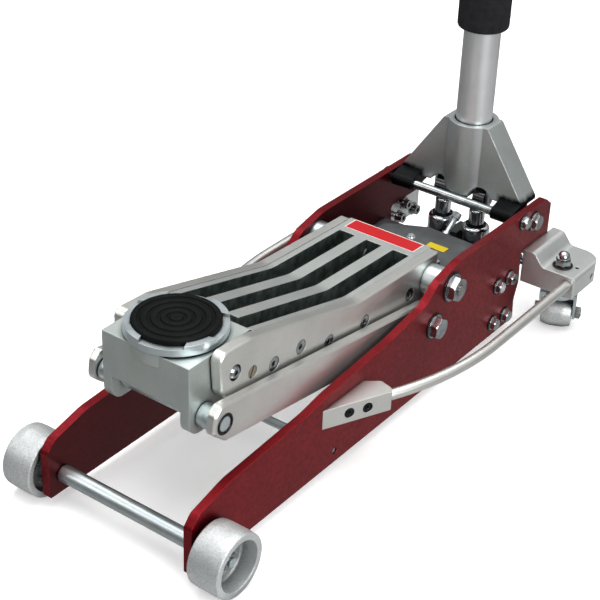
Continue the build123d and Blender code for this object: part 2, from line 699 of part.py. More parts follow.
def arm_casting():
    """The centre of the arm, with three long slots and the push lugs below the pivot."""
    drop = 0.8
    outline = [
        (90.0, 214.6, 0),
        (ARM_TOP[1][0], ARM_TOP[1][1] - drop, 0),
        (ARM_TOP[2][0], ARM_TOP[2][1] - drop, 60),
        (466.0, ARM_TOP[3][1] - drop, 3),
        (475.0, 152.0, 3),
        (473.0, 126.0, 8),
        (455.0, 110.0, 8),
        (ARM_UNDER[1][0], ARM_UNDER[1][1] + 4, 60),
        (ARM_UNDER[2][0], ARM_UNDER[2][1] + 4, 0),
        (90.0, 150.0, 0),
    ]
    body = side_slab(outline, -ARM_IN, ARM_IN)
    body -= rod_x(TIP_CLEARANCE_R, -ARM_IN - 1, ARM_IN + 1, ARM_TIP)
    body -= block(-ARM_IN - 1, ARM_IN + 1, 80, ARM_TIP[0] + 20, 100, 230)
    rib_in = SLOT_PITCH + SLOT_W / 2
    body -= block(-rib_in, rib_in, 100, SLOT_FRONT - 8.0, 178.0, 230.0)
    for column in (-1, 0, 1):
        x = column * SLOT_PITCH
        body -= block(x - SLOT_W / 2, x + SLOT_W / 2, SLOT_FRONT, SLOT_REAR, 90, 230)
        body -= block(x - SLOT_W / 2, x + SLOT_W / 2, SLOT_FRONT - 9, SLOT_FRONT + 1, 178, 230)
    body += push_lug(LUG_IN, LUG_OUT)
    body += push_lug(-LUG_OUT, -LUG_IN)
    for side in (-1, 1):
        for place in ARM_SCREWS:
            low, high = sorted((side * (ARM_IN - 7.0), side * (ARM_IN + 1)))
            body -= rod_x(3.0, low, high, place)
    return body - rod_x(ARM_SHAFT_R + RUNNING, -ARM_IN - 1, ARM_IN + 1, ARM_PIVOT)


def push_lug(x_low, x_high):
    """An ear that holds the push roller below the pivot."""
    roller = push_roller_place()
    lug = rod_x(ARM_SHAFT_R + 8.0, x_low, x_high, ARM_PIVOT)
    lug += rod_x(PUSH_ROLLER_R - 1.0, x_low, x_high, roller)
    width = PUSH_ROLLER_R - 1.0
    lean = radians(PUSH_LEAN)
    across = (width * cos(lean), width * sin(lean))
    web = Polyline(
        (ARM_PIVOT[0] - across[0], ARM_PIVOT[1] - across[1]),
        (ARM_PIVOT[0] + across[0], ARM_PIVOT[1] + across[1]),
        (roller[0] + across[0], roller[1] + across[1]),
        (roller[0] - across[0], roller[1] - across[1]),
        close=True,
    )
    lug += extrude(Plane.YZ.offset(x_low) * make_face(web), amount=x_high - x_low)
    return lug - rod_x(5.0, x_low - 1, x_high + 1, roller)


def push_roller():
    place = push_roller_place()
    roller = rod_x(PUSH_ROLLER_R, -LUG_IN + 0.3, LUG_IN - 0.3, place)
    return roller + rod_x(5.0, -LUG_OUT, LUG_OUT, place)


def arm_screw(place):
    """A countersunk socket screw, flush with the side of the arm."""
    screw = rod_x(PLATE_SCREW_R - 0.5, ARM_OUT - 6.0, ARM_OUT - 0.5, place)
    screw -= hex_x(3.8, ARM_OUT - 4.0, ARM_OUT, place)
    return screw + rod_x(3.0, ARM_IN - 7.0, ARM_OUT - 6.0, place)


def arm_dowel():
    """A slotted plug, flush with the side of the arm."""
    plug = rod_x(DOWEL_R, ARM_IN, ARM_OUT - 0.6, ARM_DOWEL)
    slot = Box(3.0, 1.8, 2 * DOWEL_R + 2)
    return plug - Pos(ARM_OUT - 0.6, *ARM_DOWEL) * Rot(-25, 0, 0) * slot


def tip_bolt():
    """The pin between the arm and the saddle bracket, with a domed screw in its end."""
    head = ARM_OUT + 1.2
    pin = rod_x(TIP_BOLT_R, BRACKET_CAVITY + 1.0, ARM_OUT - 4.0, ARM_TIP)
    pin += crown(7.4, ARM_OUT - 5.0, head, ARM_TIP)
    return pin - hex_x(3.4, head - 3.0, head + 1, ARM_TIP)


# ---- lower links ----


def link_point(along, across):
    """A (y, z) place measured along the link from its front pin, and square to it."""
    y = LINK_PIN[0] + along * cos(LINK_SLOPE) + across * sin(LINK_SLOPE)
    z = LINK_PIN[1] - along * sin(LINK_SLOPE) + across * cos(LINK_SLOPE)
    return (y, z)


def lower_link():
    """A flat bar whose front end is cut back below and whose rear end is round."""
    corners = [
        (-17.0, -8.0, 10),
        (-17.0, 12.0, 7),
        (-9.0, LINK_HALF_H, 7),
        (LINK_LENGTH, LINK_HALF_H, 0),
        (LINK_LENGTH, -LINK_HALF_H, 0),
        (6.0, -LINK_HALF_H, 8),
    ]
    outline = [(*link_point(along, across), radius) for along, across, radius in corners]
    link = side_slab(outline, LINK_IN, LINK_OUT)
    link = bevel_outside(link + rod_x(LINK_HALF_H, LINK_IN, LINK_OUT, LINK_PIVOT), 2.2)
    link -= rod_x(LINK_PIN_R + LINK_PIN_GAP, LINK_IN - 1, LINK_OUT + 1, LINK_PIN)
    link -= rod_x(LINK_PIN_R + 3.0, LINK_OUT - 2.0, LINK_OUT + 1, LINK_PIN)
    return link - rod_x(LINK_BOLT_R + RUNNING, LINK_IN - 1, LINK_OUT + 1, LINK_PIVOT)


# ---- saddle bracket and saddle ----


def saddle_bracket():
    """An inverted channel whose side walls hold the arm tip and the link pin."""
    wall = [
        (BRACKET_FRONT, BRACKET_TOP, 0),
        (BRACKET_REAR, BRACKET_TOP, 0),
        (BRACKET_REAR, 190.0, 4),
        (110.0, 166.0, 10),
        (76.0, 150.0, 6),
        (73.5, BRACKET_LEG_BOTTOM, 16),
        (BRACKET_FRONT, BRACKET_LEG_BOTTOM, 16),
    ]
    body = side_slab(wall, -BRACKET_HALF_W, BRACKET_HALF_W)
    body += rod_z(SADDLE_R - 2.5, BRACKET_TOP - 14.0, BRACKET_TOP, 0, SADDLE_Y)
    body -= block(-BRACKET_CAVITY, BRACKET_CAVITY, 40.0, 200.0, 100.0, 200.0)
    body -= block(-BRACKET_CAVITY, BRACKET_CAVITY, 20.0, 60.0, 100.0, BRACKET_SKIRT)
    body -= rod_x(TIP_BOLT_R + RUNNING, -60, 60, ARM_TIP)
    body -= rod_x(LINK_PIN_R, -60, 60, LINK_PIN)
    return body - rod_z(12.0 + RUNNING, 190.0, BRACKET_TOP + 1, 0, SADDLE_Y)


def link_pin():
    """The pin across the bracket that both lower links hang on."""
    pin = rod_x(LINK_PIN_R, -LINK_OUT, LINK_OUT, LINK_PIN)
    return chamfer(pin.edges().filter_by(GeomType.CIRCLE), 1.0)


def link_spacer():
    ring = rod_x(13.0, BRACKET_HALF_W, LINK_IN - 0.3, LINK_PIN)
    ring = chamfer(ring.edges().filter_by(GeomType.CIRCLE), 0.8)
    return ring - rod_x(LINK_PIN_R, BRACKET_HALF_W - 1, LINK_IN, LINK_PIN)


def saddle_cup():
    """A shallow cup with four notches in its rim and a stub that turns in the bracket."""
    cup = rod_z(SADDLE_R, SADDLE_BASE, SADDLE_RIM, 0, SADDLE_Y)
    cup = chamfer(cup.edges().group_by(Axis.Z)[0], 1.5)
    cup -= rod_z(SADDLE_PAD_R, SADDLE_BASE + 5.0, SADDLE_RIM + 1, 0, SADDLE_Y)
    half = SADDLE_NOTCH_W / 2
    reach = SADDLE_R + 5.0
    notch = block(-half, half, -reach, reach, SADDLE_RIM - 3.5, SADDLE_RIM + 1)
    notch += block(-reach, reach, -half, half, SADDLE_RIM - 3.5, SADDLE_RIM + 1)
    notch -= rod_z(SADDLE_PAD_R - 1.0, SADDLE_RIM - 6, SADDLE_RIM + 2, 0, 0)
    cup -= Pos(0, SADDLE_Y, 0) * Rot(0, 0, SADDLE_TURN) * notch
    return cup + rod_z(12.0, BRACKET_TOP - 16.0, SADDLE_BASE + 1, 0, SADDLE_Y)


def saddle_pad():
    """A rubber disc with raised rings."""
    floor = SADDLE_BASE + 5.0
    top = SADDLE_PAD_TOP
    pad = rod_z(SADDLE_PAD_R - 0.2, floor, top, 0, SADDLE_Y)
    pad = chamfer(pad.edges().group_by(Axis.Z)[-1], 1.0)
    for radius in (13.0, 23.0, 33.0):
        groove = rod_z(radius + 1.5, top - 1.5, top + 1, 0, SADDLE_Y)
        groove -= rod_z(radius - 1.5, top - 2.5, top + 2, 0, SADDLE_Y)
        pad -= groove
    return pad


# ---- handle socket and handle ----

WING_FACE = 622.0
WING_BACK = 658.0
WING_FOOT = 157.0


def handle_yoke():
    """The triangular handle socket, hung from the shaft by two forward lugs."""
    outline = [
        (-88.0, WING_FOOT, 3),
        (-88.0, 163.0, 2),
        (-COLLAR_R, COLLAR_TOP, 3),
        (COLLAR_R, COLLAR_TOP, 3),
        (88.0, 163.0, 2),
        (88.0, WING_FOOT, 3),
    ]
    yoke = front_slab(outline, WING_FACE, WING_BACK)
    yoke += rod_z(COLLAR_R, WING_FOOT - 4.0, COLLAR_TOP, 0, HANDLE_Y)
    for side in (-1, 1):
        yoke += yoke_lug(side)
        yoke -= rod_y(14.0, 590.0, WING_BACK + 20, side * 30.0, WING_FOOT - 3.0)
        for inner in (ROLLER_X - 11.0, ROLLER_X + 8.0):
            yoke += roller_ear(side, inner)
    yoke -= rod_z(SOCKET_R, SOCKET_FLOOR, COLLAR_TOP + 1, 0, HANDLE_Y)
    yoke -= rod_z(12.0, WING_FOOT - 10, SOCKET_FLOOR + 1, 0, HANDLE_Y)
    yoke -= rod_x(3.0, -50, 50, YOKE_ROLLER)
    return yoke - rod_x(YOKE_SHAFT_R + RUNNING, -100, 100, YOKE_SHAFT)


def yoke_lug(side):
    """A lug from the foot of the socket forward to the shaft."""
    low, high = sorted((side * 58.0, side * 88.0))
    lug = rod_x(9.0, low, high, YOKE_SHAFT)
    outline = [
        (YOKE_SHAFT[0], YOKE_SHAFT[1] - 9.0, 0),
        (WING_FACE + 16, WING_FOOT - 9.0, 4),
        (WING_FACE + 16, WING_FOOT + 6.0, 0),
        (WING_FACE, WING_FOOT + 6.0, 0),
        (YOKE_SHAFT[0], YOKE_SHAFT[1] + 9.0, 0),
    ]
    return lug + side_slab(outline, low, high)


def roller_ear(side, inner):
    """A thin ear beside a pump roller."""
    low, high = sorted((side * inner, side * (inner + 3.0)))
    outline = [
        (YOKE_ROLLER[0] - 6.0, WING_FOOT + 12.0, 0),
        (YOKE_ROLLER[0] + 7.0, WING_FOOT + 12.0, 0),
        (YOKE_ROLLER[0] + 7.0, YOKE_ROLLER[1] - 6.0, 5),
        (YOKE_ROLLER[0] - 6.0, YOKE_ROLLER[1] - 6.0, 5),
    ]
    return side_slab(outline, low, high)


def pump_roller():
    roller = rod_x(YOKE_ROLLER_R, ROLLER_X - 7.5, ROLLER_X + 7.5, YOKE_ROLLER)
    return roller + rod_x(3.0, ROLLER_X - 11.0, ROLLER_X + 11.0, YOKE_ROLLER)


def pump_plunger():
    """A chromed plunger with a domed head below its roller."""
    top = YOKE_ROLLER[1] - YOKE_ROLLER_R - 0.4
    plunger = rod_z(PUMP_R, 52.0, top, PUMP_X, PUMP_Y)
    return fillet(plunger.edges().group_by(Axis.Z)[-1], 2.5)


def handle_lower_tube():
    tube = rod_z(TUBE_R, SOCKET_FLOOR + 0.3, TUBE_SPLIT, 0, HANDLE_Y)
    return tube - rod_z(TUBE_R - 3.0, SOCKET_FLOOR + 8, TUBE_SPLIT + 1, 0, HANDLE_Y)


def handle_upper_tube():
    tube = rod_z(UPPER_TUBE_R, TUBE_SPLIT - 60, HANDLE_TOP - 3, 0, HANDLE_Y)
    tube += rod_z(TUBE_R, TUBE_SPLIT, TUBE_SPLIT + 6, 0, HANDLE_Y)
    return tube - rod_z(UPPER_TUBE_R - 2.5, TUBE_SPLIT - 70, HANDLE_TOP - 20, 0, HANDLE_Y)


def foam_sleeve():
    """A foam bumper around the lower tube."""
    sleeve = rod_z(FOAM_R, FOAM_BOTTOM, FOAM_TOP, 0, HANDLE_Y)
    sleeve = fillet(sleeve.edges().filter_by(GeomType.CIRCLE), 5.0)
    return sleeve - rod_z(TUBE_R, FOAM_BOTTOM - 1, FOAM_TOP + 1, 0, HANDLE_Y)


def handle_grip():
    """A rubber grip with a closed end."""
    grip = rod_z(24.0, HANDLE_TOP - 150, HANDLE_TOP, 0, HANDLE_Y)
    grip = fillet(grip.edges().filter_by(GeomType.CIRCLE), 4.0)
    return grip - rod_z(UPPER_TUBE_R, HANDLE_TOP - 151, HANDLE_TOP - 3, 0, HANDLE_Y)


def build_parts():
    """Every node by name."""
    parts = {
        "front_axle": front_axle(),
        "front_axle_fasteners": front_axle_fasteners(),
        "cross_rod": cross_rod(),
        "wing_bolts": group(bolt for place in WING_BOLTS for bolt in (
            wing_bolt(place), mirrored(wing_bolt(place)))),
        "rod_clamp_screws": group(screw for hole in CLAMP_HOLES for screw in (
            clamp_screw(hole), mirrored(clamp_screw(hole)))),
        "arm_pivot_shaft": arm_pivot_shaft(),
        "arm_pivot_bolts": pair(arm_pivot_bolt()),
        "arm_spacers": pair(arm_spacer()),
        "link_pivot_bolts": pair(link_pivot_bolt()),
        "pump_block": pump_block(),
        "oil_tank": tank(),
        "ram_cylinder": ram_cylinder(),
        "ram_rod": ram_rod(),
        "block_bolts": group(bolt for place in BLOCK_BOLTS for bolt in (
            plate_bolt(place, BLOCK_BOLT_R, 8.0, 26.0),
            mirrored(plate_bolt(place, BLOCK_BOLT_R, 8.0, 26.0)))),
        "unit_fittings": group([*block_plugs().solids(), pump_barrel(), mirrored(pump_barrel())]),
        "release_shaft": release_shaft(),
        "yoke_shaft": yoke_shaft(),
        "yoke_shaft_nuts": pair(yoke_shaft_nut()),
        "frame_bolts": pair(plate_bolt(FRAME_BOLT, FRAME_BOLT_R, 10.5, PLATE_T)),
        "caster_kingpins": pair(caster_kingpin()),
        "caster_nuts": pair(caster_nut()),
        "arm_casting": arm_casting(),
        "arm_screws": group(screw for place in ARM_SCREWS for screw in (
            arm_screw(place), mirrored(arm_screw(place)))),
        "arm_dowels": pair(arm_dowel()),
        "arm_tip_bolts": pair(tip_bolt()),
        "push_roller": push_roller(),
        "saddle_bracket": saddle_bracket(),
        "link_pin": link_pin(),
        "saddle_cup": saddle_cup(),
        "saddle_pad": saddle_pad(),
        "handle_yoke": handle_yoke(),
        "pump_rollers": pair(pump_roller()),
        "handle_lower_tube": handle_lower_tube(),
        "handle_upper_tube": handle_upper_tube(),
        "foam_sleeve": foam_sleeve(),
        "handle_grip": handle_grip(),
    }
    sided = {
        "side_plate": side_plate(),
        "front_wheel": front_wheel(),
        "wing_bracket": wing_bracket(),
        "side_rod": side_rod(),
        "rod_clamp": rod_clamp(),
        "arm_plate": arm_plate(),
        "lower_link": lower_link(),
        "link_spacer": link_spacer(),
        "caster_fork": caster_fork(),
        "caster_axle": caster_axle(),
        "caster_wheel": caster_wheel(),
        "pump_plunger": pump_plunger(),
    }
    for name, shape in sided.items():
        parts[name + "_right"] = shape
        parts[name + "_left"] = mirrored(shape)
    return parts


def main():
    os.makedirs("parts", exist_ok=True)
    for name, shape in build_parts().items():
        placed = shape.moved(Location((0, -ORIGIN_Y, 0)))
        placed.label = name
        export_step(placed, os.path.join("parts", name + ".step"))


main()
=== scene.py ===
import json
import math

import bmesh
import bpy
from mathutils import Matrix, Vector, noise
from mathutils.bvhtree import BVHTree


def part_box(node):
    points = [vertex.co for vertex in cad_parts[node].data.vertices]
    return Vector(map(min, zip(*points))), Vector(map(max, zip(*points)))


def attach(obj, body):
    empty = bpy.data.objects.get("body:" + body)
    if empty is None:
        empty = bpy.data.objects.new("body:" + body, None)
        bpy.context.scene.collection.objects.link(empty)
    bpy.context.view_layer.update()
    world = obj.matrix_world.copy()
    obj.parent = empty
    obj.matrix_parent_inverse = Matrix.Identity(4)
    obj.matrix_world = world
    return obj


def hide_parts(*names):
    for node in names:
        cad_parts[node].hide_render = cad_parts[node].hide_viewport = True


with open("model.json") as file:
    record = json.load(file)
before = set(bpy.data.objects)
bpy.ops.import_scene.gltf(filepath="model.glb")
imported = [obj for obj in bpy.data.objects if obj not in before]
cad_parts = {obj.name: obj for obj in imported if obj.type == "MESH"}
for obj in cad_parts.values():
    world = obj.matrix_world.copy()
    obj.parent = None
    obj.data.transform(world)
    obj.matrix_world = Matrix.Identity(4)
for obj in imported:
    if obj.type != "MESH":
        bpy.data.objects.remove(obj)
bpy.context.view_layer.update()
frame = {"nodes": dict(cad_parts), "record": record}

# Lengths in the row frame are in metres, and Z is up.
MM = 0.001
UP = (0, 0, 1)


# Node trees ---------------------------------------------------------------------------------


class Shader:
    """A Principled material whose colour, roughness and bump are built from small steps."""

    def __init__(self, name, **values):
        self.material = bpy.data.materials.new(name)
        self.material.use_nodes = True
        self.tree = self.material.node_tree
        self.surface = self.tree.nodes["Principled BSDF"]
        for socket, value in values.items():
            self.surface.inputs[socket.replace("_", " ")].default_value = value
        self.place = self.node("ShaderNodeTexCoord").outputs["Object"]
        self.height = None

    def node(self, kind, **settings):
        """A new node of a kind, with its settings."""
        made = self.tree.nodes.new(kind)
        for key, value in settings.items():
            setattr(made, key, value)
        return made

    def feed(self, source, target):
        """Links a socket, or sets a value."""
        if isinstance(source, bpy.types.NodeSocket):
            self.tree.links.new(source, target)
        else:
            target.default_value = source

    def stretched(self, scale):
        """The place of a point, with each axis scaled."""
        mapping = self.node("ShaderNodeMapping")
        self.feed(self.place, mapping.inputs["Vector"])
        mapping.inputs["Scale"].default_value = scale
        return mapping.outputs["Vector"]

    def noise(self, size, detail, stretch=(1, 1, 1)):
        """Noise whose grains are about size metres across, from 0 to 1."""
        texture = self.node("ShaderNodeTexNoise")
        self.feed(self.stretched(stretch), texture.inputs["Vector"])
        texture.inputs["Scale"].default_value = 1 / size
        texture.inputs["Detail"].default_value = detail
        texture.inputs["Roughness"].default_value = 0.55
        return texture.outputs["Fac"]

    def cells(self, size):
        """Distance to the centre of cells that are about size metres across, in cell sizes."""
        texture = self.node("ShaderNodeTexVoronoi")
        self.feed(self.place, texture.inputs["Vector"])
        texture.inputs["Scale"].default_value = 1 / size
        return texture.outputs["Distance"]

    def remap(self, value, low, high, to_low=0.0, to_high=1.0):
        """A value moved from one range to another, and kept inside it."""
        mapper = self.node("ShaderNodeMapRange")
        self.feed(value, mapper.inputs["Value"])
        ends = {"From Min": low, "From Max": high, "To Min": to_low, "To Max": to_high}
        for socket, number in ends.items():
            mapper.inputs[socket].default_value = number
        return mapper.outputs["Result"]

    def spread(self, value, to_low=0.0, to_high=1.0):
        """Noise, which lies mostly between 0.3 and 0.7, spread over another range."""
        return self.remap(value, 0.3, 0.7, to_low, to_high)

    def math(self, operation, first, second=0.0):
        """The result of a calculation with one or two values."""
        worker = self.node("ShaderNodeMath", operation=operation)
        self.feed(first, worker.inputs[0])
        self.feed(second, worker.inputs[1])
        return worker.outputs["Value"]

    def blend(self, share, first, second):
        """A colour between two colours."""
        mixer = self.node("ShaderNodeMix", data_type="RGBA")
        self.feed(share, mixer.inputs["Factor"])
        self.feed(first, mixer.inputs["A"])
        self.feed(second, mixer.inputs["B"])
        return mixer.outputs["Result"]

    def rounded(self, radius):
        """The normal with every edge rounded."""
        bevel = self.node("ShaderNodeBevel", samples=4)
        bevel.inputs["Radius"].default_value = radius
        return bevel.outputs["Normal"]

    def facing(self, direction):
        """How far the surface points in a direction, from -1 to 1."""
        product = self.node("ShaderNodeVectorMath", operation="DOT_PRODUCT")
        self.feed(self.node("ShaderNodeNewGeometry").outputs["Normal"], product.inputs[0])
        self.feed(direction, product.inputs[1])
        return product.outputs["Value"]

    def edge_highlighted(self, color, radius, share, rim):
        """A colour with a painted highlight in another colour on its edges, convex and concave.
        """
        turned = self.math("SUBTRACT", 1.0, self.facing(self.rounded(radius)))
        edge = self.remap(turned, 0.02, 0.25)
        return self.blend(self.math("MULTIPLY", edge, share), color, rim)

    def corner_shaded(self, color, reach, shade_color):
        """A colour with painted shade in its corners and under its overhangs."""
        open_sky = self.node("ShaderNodeAmbientOcclusion", samples=4)
        open_sky.inputs["Distance"].default_value = reach
        return self.blend(self.remap(open_sky.outputs["AO"], 0.25, 0.85), shade_color, color)

    def along(self, axis):
        """One of the three coordinates of a point in the row frame, in metres."""
        split = self.node("ShaderNodeSeparateXYZ")
        self.feed(self.place, split.inputs["Vector"])
        return split.outputs[axis]

    def inside(self, axis, low, high, fade):
        """One between two places on an axis, nought outside them."""
        value = self.along(axis)
        above = self.remap(value, low - fade, low + fade)
        below = self.remap(value, high + fade, high - fade)
        return self.math("MULTIPLY", above, below)

    def relief(self, value, depth, strength, soft_edge=None):
        """Adds a bump layer of a depth in metres; the first layer can round the edges too."""
        bump = self.node("ShaderNodeBump")
        bump.inputs["Distance"].default_value = depth
        bump.inputs["Strength"].default_value = strength
        self.feed(value, bump.inputs["Height"])
        if self.height is not None:
            self.feed(self.height, bump.inputs["Normal"])
        elif soft_edge:
            self.feed(self.rounded(soft_edge), bump.inputs["Normal"])
        self.height = bump.outputs["Normal"]

    def finish(self, color, roughness=None):
        """The material, with its colour, roughness and bump joined to the surface."""
        self.feed(color, self.surface.inputs["Base Color"])
        if roughness is not None:
            self.feed(roughness, self.surface.inputs["Roughness"])
        if self.height is not None:
            self.feed(self.height, self.surface.inputs["Normal"])
        return self.material


def rgb(red, green, blue):
    """A colour given in screen values from 0 to 255."""
    linear = []
    for value in (red / 255, green / 255, blue / 255):
        linear.append(value / 12.92 if value <= 0.04045 else ((value + 0.055) / 1.055) ** 2.4)
    return (*linear, 1.0)


# Materials ----------------------------------------------------------------------------------


def red_anodised():
    """Dark red plates, brushed along their length, with a painted highlight in a lighter red on
    their rim.
    """
    look = Shader("red_anodised", Metallic=0.78)
    grain = look.noise(1.4 * MM, 4, (1, 0.05, 1))
    cloud = look.noise(110 * MM, 3)
    mottle = look.noise(4 * MM, 4)
    tone = look.blend(look.spread(cloud), rgb(102, 7, 17), rgb(128, 12, 22))
    tone = look.blend(look.remap(grain, 0.35, 0.7, 0.0, 0.35), tone, rgb(164, 26, 38))
    tone = look.blend(look.remap(mottle, 0.42, 0.72, 0.0, 0.45), tone, rgb(76, 7, 14))
    # Painted shade on the inner faces of the plates, which point to the middle of the jack.
    inner_face_shade = look.math("MULTIPLY", look.facing((1, 0, 0)), look.along("X"))
    tone = look.blend(look.remap(inner_face_shade, -30 * MM, -80 * MM, 0.0, 0.7), tone, rgb(44, 4, 8))
    # Painted shade in the corners, then a painted highlight on the edges.
    tone = look.corner_shaded(tone, 9 * MM, rgb(26, 4, 7))
    tone = look.edge_highlighted(tone, 1.0 * MM, 0.65, rgb(190, 26, 36))
    look.relief(grain, 0.04 * MM, 0.5, 0.8 * MM)
    look.relief(look.noise(0.6 * MM, 3), 0.03 * MM, 0.5)
    return look.finish(tone, look.spread(mottle, 0.30, 0.42))


def casting(name, metallic, colors, rough, sand=1.3 * MM, depth=0.1 * MM, shade=6 * MM):
    """A sand casting: clouds, grains, painted shade in its corners and a painted highlight on its
    edges.

    The colours are its tone, its darker clouds and its painted edge highlight. Gives the look,
    the colour and the roughness, for a caller to change or to finish.
    """
    look = Shader(name, Metallic=metallic)
    tone, dark, rim = colors
    grain = look.noise(sand, 4)
    cloud = look.noise(50 * MM, 3)
    color = look.blend(look.spread(cloud, 0.0, 0.7), tone, dark)
    color = look.blend(look.remap(grain, 0.42, 0.68, 0.0, 0.55), color, dark)
    # Painted shade in the corners, then a painted highlight on the edges.
    color = look.corner_shaded(color, shade, rgb(34, 37, 36))
    color = look.edge_highlighted(color, 1.0 * MM, 0.65, rim)
    look.relief(grain, depth, 0.7, 1.6 * MM)
    look.relief(look.noise(sand * 4, 3), depth * 1.5, 0.5)
    return look, color, look.spread(grain, *rough)


def cast_aluminium():
    """The greyer casting of the saddle bracket."""
    colors = rgb(206, 213, 210), rgb(180, 189, 185), rgb(240, 243, 241)
    look, color, roughness = casting("cast_aluminium", 0.9, colors, (0.38, 0.5))
    return look.finish(color, roughness)


def bracket_casting():
    """The paler, finer casting of the caster brackets."""
    colors = rgb(236, 239, 237), rgb(212, 217, 214), rgb(252, 252, 251)
    look, color, roughness = casting("bracket_casting", 0.9, colors, (0.30, 0.42),
                                     sand=1.0 * MM, depth=0.06 * MM)
    return look.finish(color, roughness)


def wheel_casting():
    """The rough skin of the cast wheels, with fine pits."""
    colors = rgb(232, 235, 235), rgb(186, 190, 190), rgb(250, 251, 251)
    look, color, roughness = casting("wheel_casting", 0.8, colors, (0.40, 0.58),
                                     sand=2.1 * MM, depth=0.36 * MM, shade=22 * MM)
    pits = look.remap(look.noise(1.1 * MM, 5), 0.36, 0.44)
    color = look.blend(pits, rgb(176, 180, 180), color)
    look.relief(pits, 0.08 * MM, 0.5)
    return look.finish(color, roughness)


def arm_casting():
    """A pale skin on top, and painted shade on the walls of the slots and the other faces that do
    not point up.
    """
    colors = rgb(222, 225, 222), rgb(196, 201, 198), rgb(246, 247, 245)
    look, color, roughness = casting("arm_casting", 0.88, colors, (0.36, 0.48),
                                     sand=1.1 * MM, depth=0.07 * MM)
    # Painted shade: every face that does not point up, the slot walls among them, takes a dark,
    # blotchy colour.
    wall_blotches = look.remap(look.noise(12 * MM, 4), 0.35, 0.65)
    wall = look.blend(wall_blotches, rgb(70, 82, 79), rgb(120, 132, 129))
    upward = look.remap(look.facing(UP), 0.35, 0.75)
    return look.finish(look.blend(upward, wall, color), roughness)


def yoke_casting():
    """The handle yoke: a satin casting whose low outer lugs are painted near black as shade."""
    colors = rgb(204, 210, 209), rgb(178, 185, 184), rgb(240, 243, 242)
    look, color, roughness = casting("yoke_casting", 0.9, colors, (0.36, 0.46),
                                     sand=1.2 * MM, depth=0.08 * MM)
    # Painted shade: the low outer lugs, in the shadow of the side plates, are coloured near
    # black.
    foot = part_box("handle_yoke")[0].z
    wander = look.spread(look.noise(12 * MM, 4), -2 * MM, 2 * MM)
    rise = look.math("ADD", look.along("Z"), wander)
    above = look.remap(rise, foot + 23 * MM, foot + 29 * MM)
    outward = look.remap(look.math("ABSOLUTE", look.along("X")), 52 * MM, 58 * MM)
    unshaded = look.math("MAXIMUM", above, look.math("SUBTRACT", 1.0, outward))
    return look.finish(look.blend(unshaded, rgb(20, 21, 22), color), roughness)


def satin_metal(name, tone, rim, grain_size, stretch):
    """A satin metal with a grain drawn out along one axis, painted shade in its corners and a
    painted highlight on its edges.
    """
    look = Shader(name, Metallic=0.95)
    grain = look.noise(grain_size, 4, stretch)
    cloud = look.noise(50 * MM, 3)
    dark = (*(0.78 * value for value in tone[:3]), 1.0)
    color = look.blend(look.spread(cloud, 0.0, 0.6), tone, dark)
    color = look.blend(look.remap(grain, 0.35, 0.65, 0.0, 0.3), color, dark)
    # Painted shade in the corners, then a painted highlight on the edges.
    color = look.corner_shaded(color, 5 * MM, rgb(40, 42, 43))
    color = look.edge_highlighted(color, 1.0 * MM, 0.6, rim)
    look.relief(grain, 0.03 * MM, 0.6, 0.7 * MM)
    return look.finish(color, look.spread(grain, 0.31, 0.43))


def machined_aluminium():
    """Arm plates, links, bars and clamps, brushed along the jack."""
    return satin_metal("machined_aluminium", rgb(238, 238, 234), rgb(250, 250, 248),
                       0.9 * MM, (1, 0.10, 1))


def zinc_steel():
    """Zinc plate: bluish, with faint spangles and a soft yellow cast in places."""
    look = Shader("zinc_steel", Metallic=0.95)
    cloud = look.noise(20 * MM, 3)
    spangle = look.cells(4 * MM)
    color = look.blend(look.spread(cloud), rgb(198, 212, 217), rgb(214, 223, 225))
    color = look.blend(look.remap(spangle, 0.1, 0.6, 0.0, 0.25), color, rgb(226, 232, 232))
    yellowed = look.remap(look.noise(50 * MM, 2), 0.55, 0.75, 0.0, 0.25)
    color = look.blend(yellowed, color, rgb(206, 201, 178))
    # Painted shade in the corners, then a painted highlight on the edges.
    color = look.corner_shaded(color, 4 * MM, rgb(34, 38, 40))
    color = look.edge_highlighted(color, 0.6 * MM, 0.6, rgb(236, 241, 242))
    look.relief(look.noise(3 * MM, 2), 0.01 * MM, 0.15, 0.5 * MM)
    return look.finish(color, look.spread(cloud, 0.28, 0.38))


def bright_steel():
    """Chromed and polished steel with finger marks."""
    look = Shader("bright_steel", Metallic=1.0)
    smear = look.noise(12 * MM, 4)
    color = look.blend(look.remap(smear, 0.35, 0.65), rgb(150, 155, 157), rgb(192, 196, 197))
    # Painted shade in the corners, then a painted highlight on the edges.
    color = look.corner_shaded(color, 4 * MM, rgb(24, 25, 26))
    color = look.edge_highlighted(color, 0.5 * MM, 0.6, rgb(240, 241, 241))
    look.relief(look.noise(0.9 * MM, 2), 0.01 * MM, 0.3, 0.4 * MM)
    return look.finish(color, look.spread(smear, 0.12, 0.24))


def plain_chrome():
    """Hard chrome on the pump's barrels and plungers, with a thin film of oil."""
    look = Shader("plain_chrome", Metallic=1.0, Coat_Weight=0.3, Coat_Roughness=0.05)
    film = look.noise(10 * MM, 3)
    color = look.blend(look.spread(film), rgb(214, 219, 224), rgb(236, 239, 242))
    oil = look.remap(look.noise(20 * MM, 4), 0.6, 0.75, 0.0, 0.5)
    color = look.blend(oil, color, rgb(110, 112, 112))
    look.relief(film, 0.01 * MM, 0.3, 0.5 * MM)
    return look.finish(color, look.spread(film, 0.10, 0.22))


def plug_bronze():
    """The browned slotted plugs in the sides of the arm."""
    look = Shader("plug_bronze", Metallic=0.9)
    cloud = look.noise(4 * MM, 4)
    color = look.blend(look.spread(cloud), rgb(150, 138, 118), rgb(184, 174, 156))
    # Painted shade in the corners.
    color = look.corner_shaded(color, 2 * MM, rgb(40, 36, 32))
    look.relief(look.noise(0.8 * MM, 3, (1, 0.2, 1)), 0.03 * MM, 0.5)
    return look.finish(color, look.spread(cloud, 0.32, 0.46))


